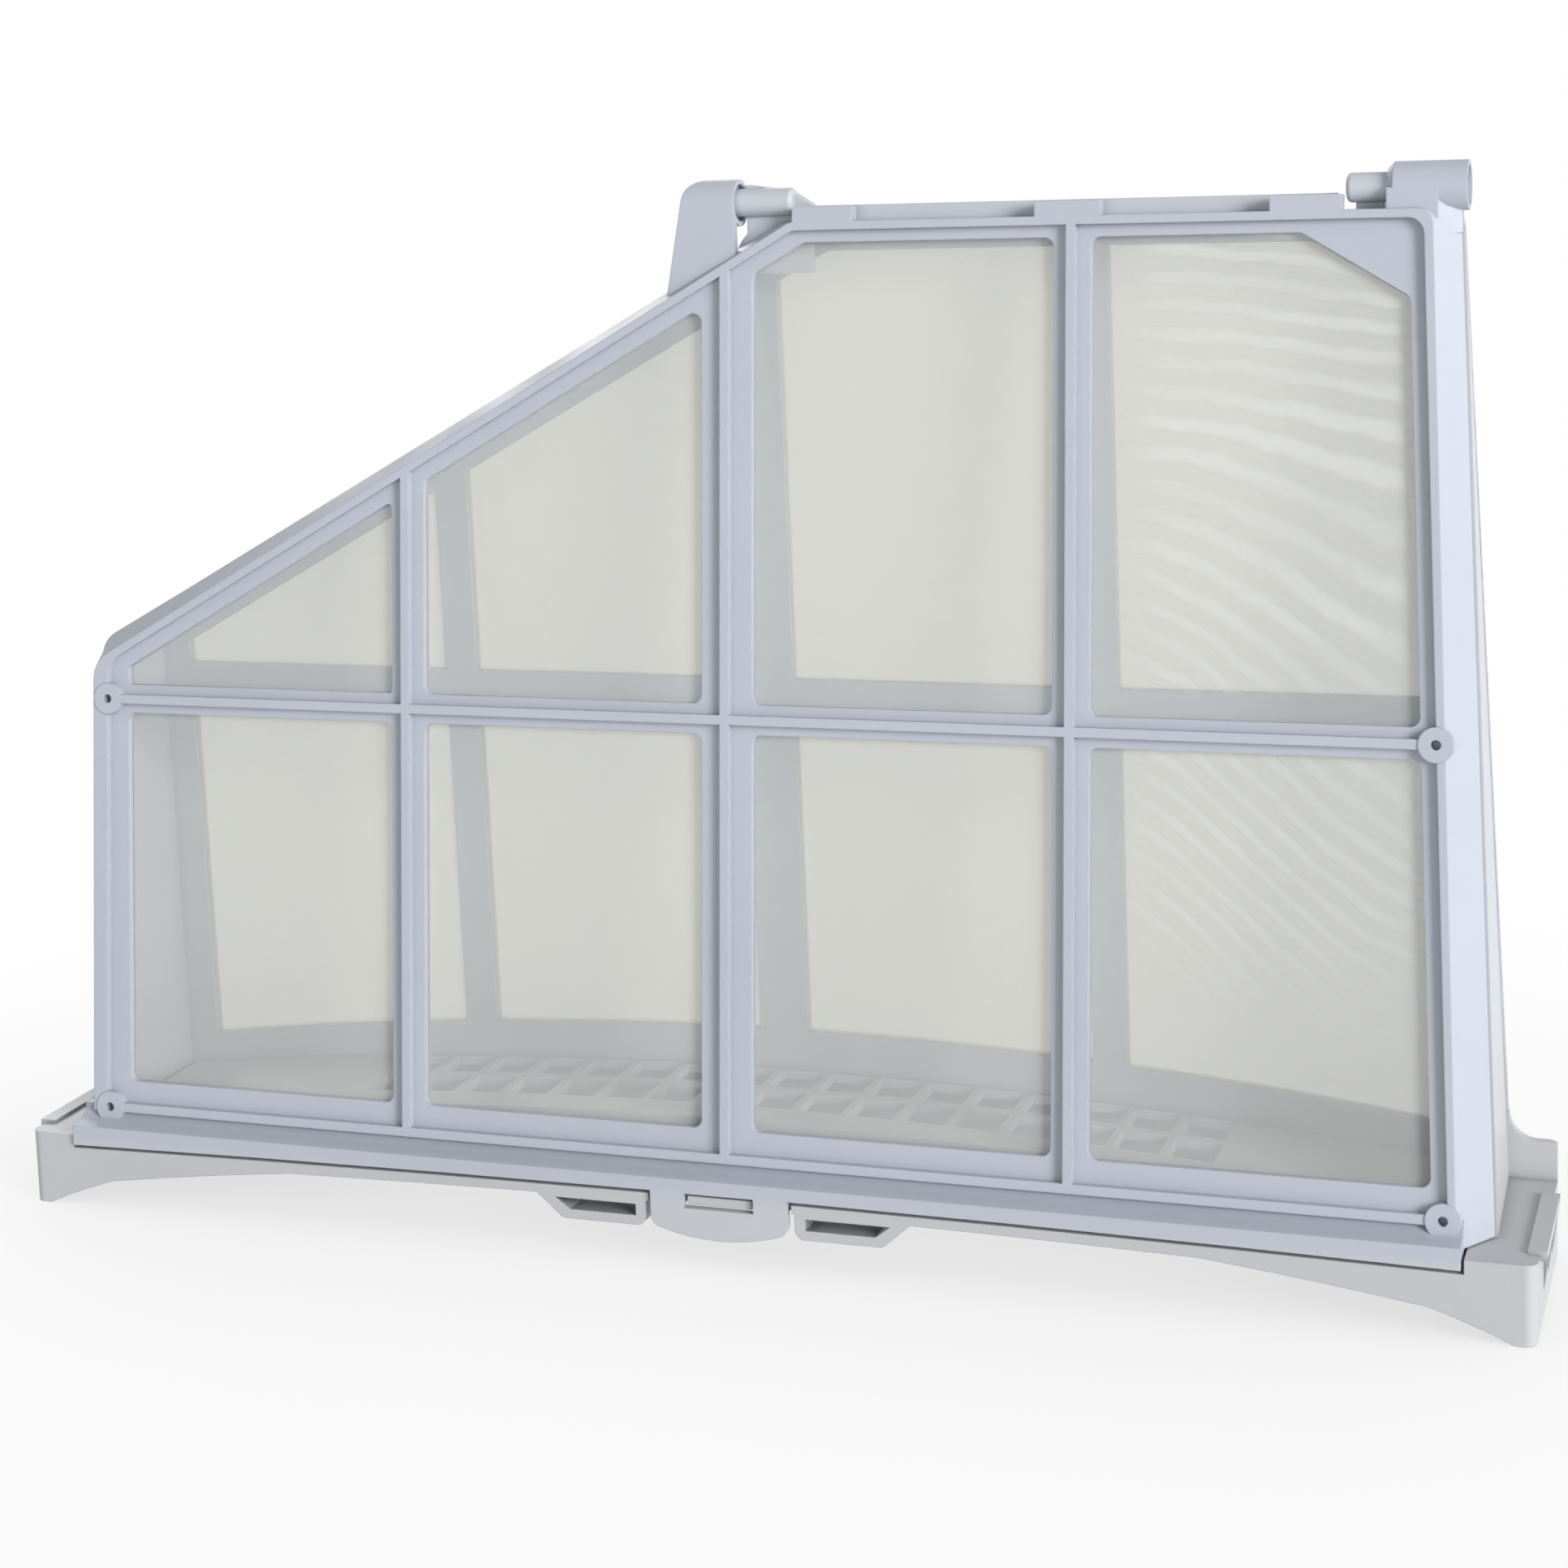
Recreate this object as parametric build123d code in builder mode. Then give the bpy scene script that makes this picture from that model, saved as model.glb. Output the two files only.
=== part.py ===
"""Fold-open lint filter: two framed mesh halves hinged along the top, the rear one on an arched flange.

X runs along the hinge, Y from the front to the rear, Z up. The origin is under the middle of the flange.
"""

import os
from math import cos, hypot, radians, sin

from build123d import *

# Walls, mesh sheet and clearances
WALL = 2.2
SHEET = 0.4
SHEET_COVER = 0.8
SHEET_HOLD = 2.4
GAP = 0.4
RUN_FIT = 0.08
REACH = 40.0

# Flange: a channel open below, arched between two level shelves
FLANGE_HALF = 201.0
FLANGE_WALL = 2.5
FLANGE_ROUND = 3.0
APRON_Y = -29.5
BACK_Y = 30.5
SEAT_Y = -17.0
SHELF = 19.8
SHELF_LONG = 21.0
ARCH_MID = 35.0
ARCH_FOOT = 24.0
FOOT_ROUND = 1.5

# Lower edge of the flange: middle height, then distance from the end and height
EDGE_MID = 16.0
EDGE_KNEE = (79.0, 14.4)
EDGE_BEND = (51.0, 11.2)
EDGE_FOOT = (25.0, 7.6)
EDGE_HEEL = (13.0, 3.4)
EDGE_TOE = (5.0, 0.0)

# Ledge under the lip, back rim and grips at the flange's ends
LEDGE_MID = 18.2
LEDGE_END = 16.2
LEDGE_THICK = 2.2
BACK_RIM_HIGH = 9.7
BACK_RIM_LAP = 2.5
BACK_RIM_SWEEP = 7.0
GRIP_OUT = 1.5
GRIP_DEEP = 4.5
GRIP_RISE = 0.8
GRIP_SIDES = (-22.0, 17.0)
GRIP_RIBS = 3
GRIP_RIB_PITCH = 12.0
GRIP_RIB_WIDE = 2.4
GRIP_RIB_TALL = 11.0

# Grille in the flange floor
GRILLE_COLUMNS = 17
GRILLE_ROWS = 2
GRILLE_PITCH = 13.7
GRILLE_ROW_PITCH = 16.5
GRILLE_OPENING = (11.6, 13.4)
GRILLE_CENTRE = (6.0, 8.3)

# Loops either side of the tab, and the catch behind it
LOOP_INNER = 20.0
LOOP_OUTER = 43.0
LOOP_LOW = 9.4
LOOP_SLOPE = 7.5
LOOP_CORNER = 2.5
LOOP_DEEP = 8.0
SLOT_INNER = 22.8
SLOT_OUTER = 41.0
SLOT_LOW = 11.9
SLOT_HIGH = 14.9
SLOT_SLOPE = 4.0
CATCH_HALF = 8.6
CATCH_NOSE = 2.2

# Front half: rim and ribs lie in a plane that leans back
FRONT_LEAN = radians(6.2)
FRONT_Y = -24.9
FRONT_Z = 27.0
RIM_WIDE = 2.1
RIM_LEFT = 4.2
RIM_HIGH = 2.0
BASE = 3.2
RIB_WIDE = 2.4
COLUMN = 89.0
ROW = 111.6
BODY_LOW = -6.8
SIDE_LEFT = (-183.4, -182.6)
SIDE_RIGHT = (182.2, 175.0)
FLARE_RIGHT = (185.4, 179.6)
SHOULDER = 121.5
CROWN_X = 17.4
CROWN = 236.5
CORNERS = (8.0, 4.0, 4.0)

# Windows: edges of the mesh field, widths of the strips that cross it
FIELD_LOW = 7.0
FIELD_TOP = 5.0
FIELD_LEFT = -173.0
FIELD_RIGHT = (176.0, 169.8)
FIELD_SLANT = 5.8
FIELD_CHAMFER = (25.6, 15.5)
STRIP_SIDE = 9.2
STRIP_MID = 13.4
STRIP_CROSS = 7.6
WINDOW_CORNER = 2.4
CORNER_WINDOW_CORNER = 1.0

# Bosses on the front rim
BOSS_WIDE = 8.4
BOSS_PROUD = 0.3
BOSS_HOLE = 2.4
BOSS_DEEP = 2.6
BOSS_LEFT = -178.2
BOSS_RIGHT = (179.0, 176.6)

# Lip and snap tab along the bottom of the front half
LIP_ENDS = (14.0, 17.4)
LIP_END_GAP = 0.7
LIP_Y = -30.5
LIP_WALL = 2.4
LIP_GAP = 1.2
LIP_TOP = 22.9
COVE_FOOT = (-28.2, 23.3)
COVE_MIDDLE = (-25.4, 24.0)
COVE_HEAD = (-23.0, 25.7)
COVE_ROOT = 27.0
TAB_HALF = 18.3
TAB_SHOULDER = 10.6
TAB_LOW = 7.4
TAB_CORNER = 3.0
TAB_CLEAR = 0.9
TAB_WINDOW = (18.8, 3.8)
TAB_WINDOW_Z = 17.3

# Parting plane between the halves, and how far each half's outline steps out there
PART_Y = -13.5
PART_Z = 22.0
PART_LEAN = radians(4.76)
PART_LOW = -1.8
PART_LEFT = (-185.4, -184.6)
PART_RIGHT = (190.0, 181.0)
PART_SHOULDER = SHOULDER + 9.0
PART_CROWN_X = CROWN_X - 3.9
PART_CROWN = CROWN + 4.3
REAR_PART_LOW = -4.0
REAR_PART_LEFT = (-186.0, -185.2)
REAR_PART_RIGHT = (190.6, 181.6)
REAR_PART_CROWN = PART_CROWN - 1.4

# Rear half: its mesh plane leans forward
REAR_LEAN = radians(-1.3)
REAR_Y = 25.0
REAR_Z = 33.0
REAR_LOW = -15.0
REAR_LEFT = (-184.5, -183.5)
REAR_RIGHT = (189.2, 179.8)
REAR_SHOULDER = SHOULDER - 2.0
REAR_CROWN = CROWN - 8.9
REAR_ROW = ROW - 6.6
REAR_RIM_WIDE = 3.4
REAR_RIB_HIGH = 1.8
REAR_FIELD_TOP = 6.6
REAR_FIELD_SLANT = 9.2
REAR_FIELD_RISE = 12.6

# Hinge: its axis stands clear above the rear half's top edge
AXIS_BACK = 0.6
AXIS_RISE = 6.4
PIN_WIDE = 7.0
PIN_ROUND = 1.2
PIN_FREE = (17.0, 154.4)
PIN_SHORT = 0.6
PIN_SINK = 4.5
BARREL_WIDE = 11.8
BARREL = (164.2, 182.7)
BARREL_CHAMFER = 1.4
BARREL_WEB_SHORT = 6.7
BARREL_WEB_TALL = 7.3
CHEEK = ((175.0, 1.3), (181.5, 5.4), (175.0, 5.4))
CHEEK_TALL = 11.0
MOUTH_WIDE = 9.4
MOUTH_DEEP = 3.0
WEB_DEEP = 2.6
EAR = (-10.6, 2.4)
EAR_RUN = 7.0
EAR_TALL = 30.0
EAR_HEEL = 19.5
EAR_ROUND = 5.0
EAR_BLIND = 2.0
EAR_MOUTH_DEEP = 1.4

# Seats, nibs, rail and corner plate on the rear half, stop blocks on the front one
SEAT_DEEP = 3.9
SEAT_SINK = 10.0
SEATS = (((4.0, 4.4), (15.5, 2.6), (21.5, -1.2)), ((156.4, 1.0), (163.0, 1.0)))
NIBS = ((4.0, 7.0), (160.0, 163.0))
NIB_DROP = 2.5
RAIL = (21.0, 152.0)
RAIL_DROP = 1.2
RAIL_DEEP = 2.2
PLATE_LEFT = 0.5
PLATE_DROP = 4.7
PLATE_TALL = 13.3
PLATE_BEND = (4.0, 2.6)
PLATE_ROUND = (13.5, 9.0)
STOPS = ((18.0, 33.6), (80.0, 96.2), (137.0, 154.0))
STOP_RISE = 3.7
STOP_DEEP = 4.2


def leaning(y, z, lean):
    """Plane facing the front whose top leans back by the angle."""
    return Plane(origin=(0, y, z), x_dir=(1, 0, 0), z_dir=(0, -cos(lean), sin(lean)))


def upright(y):
    """Upright plane facing the front."""
    return Plane.XZ.offset(-y)


def across(x):
    """Plane across the hinge, facing along it."""
    return Plane.YZ.offset(x)


def on_line(first, last, x=None, y=None):
    """Point where the line through two points meets an upright or a level."""
    if x is not None:
        part = (x - first[0]) / (last[0] - first[0])
    else:
        part = (y - first[1]) / (last[1] - first[1])
    return (first[0] + part * (last[0] - first[0]), first[1] + part * (last[1] - first[1]))


def slant_inset(shoulder, crown, distance):
    """Two points of the sloping edge, moved inwards by the distance."""
    run = crown[0] - shoulder[0]
    rise = crown[1] - shoulder[1]
    step = distance / hypot(run, rise)
    return tuple((x + step * rise, y - step * run) for x, y in (shoulder, crown))


def body_points(left, right, shoulder, crown, low, inset=0.0, crown_x=PART_CROWN_X, left_inset=None):
    """Corners of the five-sided body outline, from the lower left round to the lower right."""
    edge = slant_inset((left[1], shoulder), (crown_x, crown), inset)
    top = crown - inset
    left_inset = inset if left_inset is None else left_inset
    return (
        (left[0] + left_inset, low),
        on_line(*edge, x=left[1] + left_inset),
        on_line(*edge, y=top),
        (right[1] - inset, top),
        (right[0] - inset, low),
    )


def outline(points, mode=Mode.ADD):
    """Body outline with rounded upper corners."""
    with BuildLine() as edge:
        FilletPolyline(*points, radius=(0, *CORNERS, 0), close=True)
    make_face(edge.edges(), mode=mode)


def field(points, rise=0.0, mode=Mode.ADD):
    """Mesh field, its lower edge arched up by the rise."""
    with BuildLine() as edge:
        Polyline(*points)
        if rise:
            middle = (points[0][0] + points[-1][0]) / 2
            ThreePointArc(points[-1], (middle, points[0][1] + rise), points[0])
        else:
            Line(points[-1], points[0])
    make_face(edge.edges(), mode=mode)


def field_points(edge, slant, low, high, hold=0.0):
    """Corners of the mesh field, from the lower left round to the lower right, wider by the hold."""
    edge = slant_inset(*edge, slant - hold)
    left = FIELD_LEFT - hold
    run, drop = FIELD_CHAMFER
    return (
        (left, low - hold),
        on_line(*edge, x=left),
        on_line(*edge, y=high + hold),
        (FIELD_RIGHT[1] - run + hold / 2, high + hold),
        (FIELD_RIGHT[1] + hold, high - drop + hold / 2),
        (FIELD_RIGHT[0] + hold, low - hold),
    )


def span(sides, low, high):
    """Rectangle between two uprights and two levels."""
    with Locations(((sides[0] + sides[1]) / 2, (low + high) / 2)):
        Rectangle(sides[1] - sides[0], high - low)


def ribs(row, low, high):
    """Three upright ribs and the cross rib."""
    for x in (-COLUMN, 0, COLUMN):
        span((x - RIB_WIDE / 2, x + RIB_WIDE / 2), low, high)
    span((SIDE_LEFT[0], SIDE_RIGHT[0]), row - RIB_WIDE / 2, row + RIB_WIDE / 2)


def arch(middle, end, half, low, mode=Mode.ADD):
    """Region under an arch that is highest in the middle."""
    with BuildLine() as edge:
        ThreePointArc((-half, end), (0, middle), (half, end))
        Polyline((half, end), (half, low), (-half, low), (-half, end))
    make_face(edge.edges(), mode=mode)


def at_end(point):
    """A point given by its distance from the flange's right end."""
    return (FLANGE_HALF - point[0], point[1])


def mirrored(point):
    """The same point on the left."""
    return (-point[0], point[1])


def corner_round(column, low):
    """Corner radius of a window, smaller in the narrow one under the shoulder."""
    return CORNER_WINDOW_CORNER if column is COLUMNS[0] and low > 0 else WINDOW_CORNER


FRONT = leaning(FRONT_Y, FRONT_Z, FRONT_LEAN)
PARTING = leaning(PART_Y, PART_Z, PART_LEAN)
REAR = leaning(REAR_Y, REAR_Z, REAR_LEAN)
BASE_BACK = -RIM_HIGH - BASE
SHEET_BACK = BASE_BACK + SHEET_COVER
REAR_SHEET_BACK = -SHEET_COVER - SHEET
LIP_LEFT = LIP_ENDS[0] - FLANGE_HALF
LIP_RIGHT = FLANGE_HALF - LIP_ENDS[1]
LIP_BACK = FRONT_Y - BASE_BACK
AXIS_Y = PART_Y + REAR_PART_CROWN * sin(PART_LEAN) + AXIS_BACK
AXIS_Z = PART_Z + REAR_PART_CROWN * cos(PART_LEAN) + AXIS_RISE
WEB_SIDES = (AXIS_Y - BARREL_WIDE / 2, AXIS_Y - BARREL_WIDE / 2 + WEB_DEEP)
PLATE_TOP = AXIS_Z - PLATE_DROP

BOSSES = ((BOSS_LEFT, 0), (BOSS_LEFT, ROW), (BOSS_RIGHT[0], 0), (BOSS_RIGHT[1], ROW))
COLUMNS = (
    (FIELD_LEFT - REACH, -COLUMN - STRIP_SIDE / 2),
    (-COLUMN + STRIP_SIDE / 2, -STRIP_MID / 2),
    (STRIP_MID / 2, COLUMN - STRIP_SIDE / 2),
    (COLUMN + STRIP_SIDE / 2, FIELD_RIGHT[0] + REACH),
)
front_body = (SIDE_LEFT, SIDE_RIGHT, SHOULDER, CROWN)
rear_body = (REAR_LEFT, REAR_RIGHT, REAR_SHOULDER, REAR_CROWN)
front_edge = ((SIDE_LEFT[1], SHOULDER), (CROWN_X, CROWN))
rear_edge = ((REAR_LEFT[1], REAR_SHOULDER), (PART_CROWN_X, REAR_CROWN))
front_field = field_points(front_edge, FIELD_SLANT, FIELD_LOW, CROWN - FIELD_TOP)
front_sheet = field_points(front_edge, FIELD_SLANT, FIELD_LOW, CROWN - FIELD_TOP, SHEET_HOLD)
rear_field = field_points(rear_edge, REAR_FIELD_SLANT, 0, REAR_CROWN - REAR_FIELD_TOP)
rear_sheet = field_points(rear_edge, REAR_FIELD_SLANT, 0, REAR_CROWN - REAR_FIELD_TOP, SHEET_HOLD)

with BuildPart() as ear:
    # Side outline of barrel and web, then the front outline with its rounded corner
    with BuildSketch(across(EAR[0] - EAR_RUN)):
        with Locations((AXIS_Y, AXIS_Z)):
            Circle(BARREL_WIDE / 2)
        span(WEB_SIDES, AXIS_Z - EAR_TALL, AXIS_Z)
    extrude(amount=EAR[1] - EAR[0] + EAR_RUN)
    with BuildSketch(upright(AXIS_Y + BARREL_WIDE)):
        with BuildLine():
            FilletPolyline(
                (EAR[0] - EAR_RUN, AXIS_Z - EAR_TALL),
                (EAR[0], AXIS_Z + BARREL_WIDE / 2),
                (EAR[1], AXIS_Z + BARREL_WIDE / 2),
                (EAR[1], AXIS_Z - EAR_HEEL),
                radius=(0, EAR_ROUND, 0, 0),
                close=True,
            )
        make_face()
    extrude(amount=2 * BARREL_WIDE, mode=Mode.INTERSECT)

with BuildPart() as barrel:
    # Sleeve with a chamfered inner end, the web under it, and the cheek that carries on the flank
    with BuildSketch(across(BARREL[0])):
        with Locations((AXIS_Y, AXIS_Z)):
            Circle(BARREL_WIDE / 2)
    extrude(amount=BARREL[1] - BARREL[0])
    chamfer(barrel.edges().filter_by(GeomType.CIRCLE).sort_by(Axis.X)[0], BARREL_CHAMFER)
    with BuildSketch(across(BARREL[0])):
        span(WEB_SIDES, AXIS_Z - BARREL_WEB_TALL, AXIS_Z)
    extrude(amount=BARREL[1] - BARREL[0] - BARREL_WEB_SHORT)
    with BuildSketch(Plane.XY.offset(AXIS_Z - CHEEK_TALL)):
        with BuildLine():
            Polyline(*CHEEK, close=True)
        make_face()
    extrude(amount=CHEEK_TALL)

with BuildPart() as flange:
    # Arched profile with a shelf at each end
    with BuildSketch(upright(BACK_Y)) as profile:
        with BuildLine():
            crest = at_end((SHELF_LONG, ARCH_FOOT))
            ThreePointArc(mirrored(crest), (0, ARCH_MID), crest)
            ThreePointArc(mirrored(at_end(EDGE_KNEE)), (0, EDGE_MID), at_end(EDGE_KNEE))
            for place in (tuple, mirrored):
                knee = place(at_end(EDGE_KNEE))
                foot = place(at_end(EDGE_FOOT))
                toe = place(at_end(EDGE_TOE))
                ThreePointArc(knee, place(at_end(EDGE_BEND)), foot)
                ThreePointArc(foot, place(at_end(EDGE_HEEL)), toe)
                Polyline(
                    toe,
                    place(at_end((0, 0))),
                    place(at_end((0, SHELF))),
                    place(at_end((SHELF_LONG, SHELF))),
                    place(crest),
                )
        make_face()
        feet = profile.vertices().group_by(Axis.Y)[0].sort_by(Axis.X)
        fillet((feet[0], feet[-1]), FOOT_ROUND)
    extrude(amount=BACK_Y - APRON_Y)
    # Back rim beyond the tray, swept up to the tray's edge
    rim_inner = -REAR_LEFT[0] - BACK_RIM_LAP
    rim_top = SHELF + BACK_RIM_HIGH
    sweep_top = rim_top + BACK_RIM_SWEEP
    sweep_dip = BACK_RIM_SWEEP * (1 - cos(radians(45)))
    with BuildSketch(upright(BACK_Y)):
        for place, edge in ((tuple, REAR_RIGHT[0]), (mirrored, -REAR_LEFT[0])):
            with BuildLine():
                Polyline(
                    place((edge, sweep_top)),
                    place((rim_inner, sweep_top)),
                    place((rim_inner, SHELF - FLANGE_WALL)),
                    place(at_end((0, SHELF - FLANGE_WALL))),
                    place(at_end((0, rim_top))),
                    place((edge + BACK_RIM_SWEEP, rim_top)),
                )
                ThreePointArc(
                    place((edge + BACK_RIM_SWEEP, rim_top)),
                    place((edge + sweep_dip, rim_top + sweep_dip)),
                    place((edge, sweep_top)),
                )
            make_face()
    extrude(amount=FLANGE_WALL)
    # Rounded corners in plan
    with BuildSketch():
        with Locations((0, (APRON_Y + BACK_Y) / 2)):
            RectangleRounded(2 * FLANGE_HALF, BACK_Y - APRON_Y, FLANGE_ROUND)
    extrude(amount=ARCH_MID + REACH, mode=Mode.INTERSECT)

with BuildPart() as front_frame:
    # Tray: rim outline in front, wider outline at the parting plane
    with BuildSketch(FRONT):
        outline(body_points(*front_body, BODY_LOW, crown_x=CROWN_X))
    with BuildSketch(PARTING.offset(GAP / 2)):
        outline(body_points(PART_LEFT, PART_RIGHT, PART_SHOULDER, PART_CROWN, PART_LOW))
    loft(ruled=True)
    with BuildSketch(FRONT.offset(BASE_BACK)):
        outline(body_points(SIDE_LEFT, FLARE_RIGHT, SHOULDER, CROWN, BODY_LOW - REACH, WALL, CROWN_X))
    with BuildSketch(PARTING.offset(GAP / 2 - WALL)):
        outline(body_points(PART_LEFT, PART_RIGHT, PART_SHOULDER, PART_CROWN, PART_LOW - REACH, WALL))
    loft(ruled=True, mode=Mode.SUBTRACT)
    # Step down from the rim to the base, above and below the bottom rib
    with BuildSketch(FRONT):
        outline(body_points(*front_body, RIB_WIDE / 2, RIM_WIDE, CROWN_X, RIM_LEFT))
        span((LIP_LEFT, LIP_RIGHT + REACH), BODY_LOW - REACH, -RIB_WIDE / 2)
    extrude(amount=-RIM_HIGH, mode=Mode.SUBTRACT)
    # Lip with its cove, arched underneath and hollow
    with BuildSketch(across(LIP_LEFT)):
        with BuildLine():
            Polyline(COVE_HEAD, (COVE_HEAD[0], COVE_ROOT), (LIP_BACK, COVE_ROOT), (LIP_BACK, 0), (LIP_Y, 0))
            Polyline((LIP_Y, 0), (LIP_Y, LIP_TOP), COVE_FOOT)
            ThreePointArc(COVE_FOOT, COVE_MIDDLE, COVE_HEAD)
        make_face()
    extrude(amount=LIP_RIGHT - LIP_LEFT)
    with BuildSketch(upright(LIP_BACK)):
        arch(LEDGE_MID + LIP_GAP, LEDGE_END + LIP_GAP, -LIP_LEFT, -REACH)
    extrude(amount=LIP_BACK - LIP_Y, mode=Mode.SUBTRACT)
    with BuildSketch(upright(LIP_BACK - WALL)):
        span((LIP_LEFT + WALL, LIP_RIGHT - WALL), 0, LIP_TOP - WALL)
    extrude(amount=LIP_BACK - LIP_Y - WALL - LIP_WALL, mode=Mode.SUBTRACT)
    # Snap tab
    with BuildSketch(upright(LIP_Y + LIP_WALL)):
        with BuildLine():
            Polyline((-TAB_HALF, TAB_SHOULDER), (-TAB_HALF, LIP_TOP - WALL), (TAB_HALF, LIP_TOP - WALL))
            Line((TAB_HALF, LIP_TOP - WALL), (TAB_HALF, TAB_SHOULDER))
            ThreePointArc((TAB_HALF, TAB_SHOULDER), (0, TAB_LOW), (-TAB_HALF, TAB_SHOULDER))
        tab = make_face()
        fillet(tab.vertices().group_by(Axis.Y)[0], TAB_CORNER)
        with Locations((0, TAB_WINDOW_Z)):
            Rectangle(*TAB_WINDOW, mode=Mode.SUBTRACT)
    extrude(amount=LIP_WALL)
    with BuildSketch(upright(LIP_Y + LIP_WALL)):
        with Locations((0, TAB_WINDOW_Z)):
            Rectangle(*TAB_WINDOW)
    extrude(amount=LIP_WALL, mode=Mode.SUBTRACT)
    # Ribs and bosses on the base
    with BuildSketch(FRONT.offset(-RIM_HIGH)):
        ribs(ROW, 0, CROWN)
        outline(body_points(*front_body, 0, RIM_WIDE / 2, CROWN_X), Mode.INTERSECT)
    extrude(amount=RIM_HIGH)
    with BuildSketch(FRONT.offset(-RIM_HIGH)):
        with Locations(*BOSSES):
            Circle(BOSS_WIDE / 2)
    extrude(amount=RIM_HIGH + BOSS_PROUD)
    with BuildSketch(FRONT.offset(BOSS_PROUD)):
        with Locations(*BOSSES):
            Circle(BOSS_HOLE / 2)
    extrude(amount=-BOSS_DEEP, mode=Mode.SUBTRACT)
    # Stop blocks on the top edge
    with BuildSketch(FRONT):
        for stop in STOPS:
            span(stop, CROWN - RIM_WIDE, CROWN + STOP_RISE)
    extrude(amount=-STOP_DEEP)
    # Hinge ear on the slope, hinge barrel at the right, bored for the pins
    add(ear.part)
    add(barrel.part)
    for wide, start, end in (
        (PIN_WIDE + 2 * RUN_FIT, EAR[0] + EAR_BLIND, EAR[1]),
        (MOUTH_WIDE, EAR[1] - EAR_MOUTH_DEEP, EAR[1]),
        (PIN_WIDE + 2 * RUN_FIT, *BARREL),
        (MOUTH_WIDE, BARREL[1] - MOUTH_DEEP, BARREL[1]),
    ):
        with BuildSketch(across(start)):
            with Locations((AXIS_Y, AXIS_Z)):
                Circle(wide / 2)
        extrude(amount=end - start, mode=Mode.SUBTRACT)
    # Windows, and the slot that holds the mesh sheet
    for column in COLUMNS:
        for low, high in ((0, ROW - STRIP_CROSS / 2), (ROW + STRIP_CROSS / 2, CROWN)):
            with BuildSketch(FRONT) as window:
                span(column, low, high)
                field(front_field, mode=Mode.INTERSECT)
                fillet(window.vertices(), corner_round(column, low))
            extrude(amount=SHEET_BACK, mode=Mode.SUBTRACT)
            with BuildSketch(FRONT.offset(SHEET_BACK)):
                span(column, low, high)
                field(front_field, mode=Mode.INTERSECT)
            extrude(amount=-SHEET_COVER - WALL, mode=Mode.SUBTRACT)
    with BuildSketch(FRONT.offset(SHEET_BACK)):
        field(front_sheet)
    extrude(amount=SHEET, mode=Mode.SUBTRACT)

with BuildPart() as front_mesh:
    with BuildSketch(FRONT.offset(SHEET_BACK)):
        field(front_sheet)
    extrude(amount=SHEET)

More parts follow.
